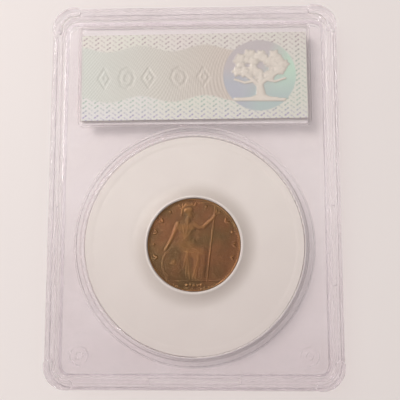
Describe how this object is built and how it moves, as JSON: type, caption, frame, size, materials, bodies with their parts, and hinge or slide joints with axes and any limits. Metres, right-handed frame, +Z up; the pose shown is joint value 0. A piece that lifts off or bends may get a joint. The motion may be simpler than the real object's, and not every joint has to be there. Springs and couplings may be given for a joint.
{
  "type": "graded coin slab",
  "caption": "Sealed clear plastic slab with corner stacking ears, holding a small bronze coin in a white collared insert below a hologram label.",
  "frame": {"origin": "centre of the footprint, level with the undersides of the stacking bars that the slab lies on", "axes": "+Y along the slab towards the label, +X across it, +Z up out of the rear face"},
  "size_m": [0.062, 0.082, 0.008],
  "materials": {
    "clear_plastic": "clear polished polystyrene",
    "white_insert": "soft matte white",
    "coin_bronze": "toned bronze, satin",
    "label_card": "printed card",
    "hologram_foil": "pale silver security foil"
  },
  "bodies": {
    "root": {"front_shell": "clear_plastic", "rear_shell": "clear_plastic", "coin_insert": "white_insert", "coin": "coin_bronze", "front_label": "label_card", "hologram_label": "hologram_foil"}
  },
  "joints": []
}
